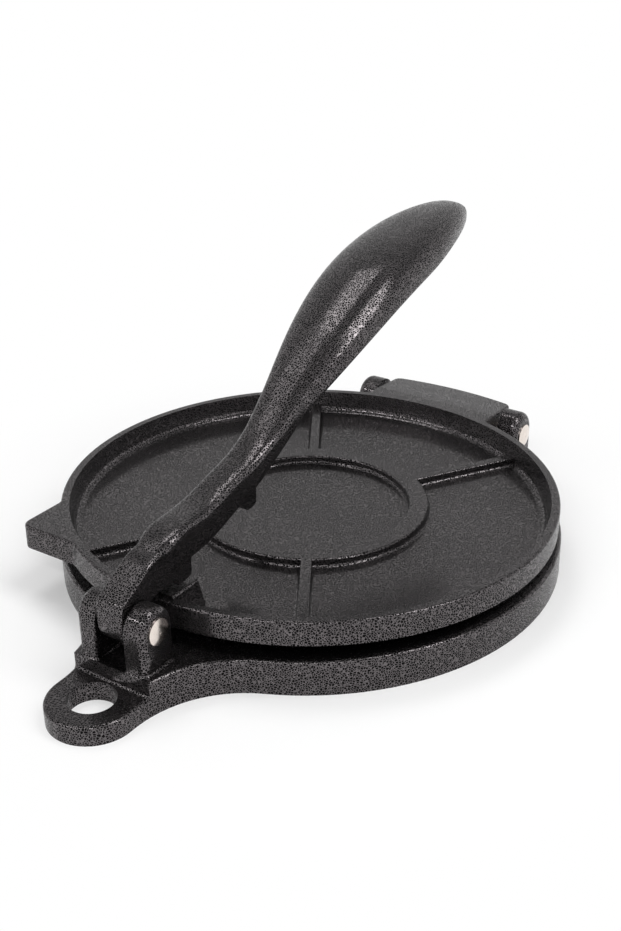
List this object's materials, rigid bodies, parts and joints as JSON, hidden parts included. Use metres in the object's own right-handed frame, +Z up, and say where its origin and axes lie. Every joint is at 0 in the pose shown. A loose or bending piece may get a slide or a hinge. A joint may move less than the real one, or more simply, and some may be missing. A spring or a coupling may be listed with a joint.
{
  "type": "tortilla press",
  "caption": "round cast tortilla press with a hinged press plate, a curved cam lever and a hanging tongue",
  "frame": {"origin": "centre of the base's underside, on the axis of the round base", "axes": "+Z up, +Y towards the back hinge, -Y towards the lever's clevis and the hanging tongue"},
  "size_m": [0.2076, 0.2813, 0.1232],
  "materials": {
    "casting": "hammertone powder coat, dark grey",
    "pins": "bright plated steel"
  },
  "bodies": {
    "base": {"base_plate": "casting", "lever_pin": "pins", "hinge_pin": "pins"},
    "plate": {"press_plate": "casting"},
    "lever": {"lever": "casting"}
  },
  "joints": [
    {"name": "lever_pivot", "type": "hinge", "parent": "base", "child": "lever", "pos_m": [0, -0.117, 0.0296], "axis": [1, 0, 0], "range_deg": [-9.2, 137]},
    {"name": "plate_hinge", "type": "hinge", "parent": "base", "child": "plate", "pos_m": [0, 0.1136, 0.0164], "axis": [-1, 0, 0], "range_deg": [-0.97, 14.4]}
  ],
  "couplings": [
    {"joint": "plate_hinge", "follows": "lever_pivot", "ratio": 0.105}
  ]
}
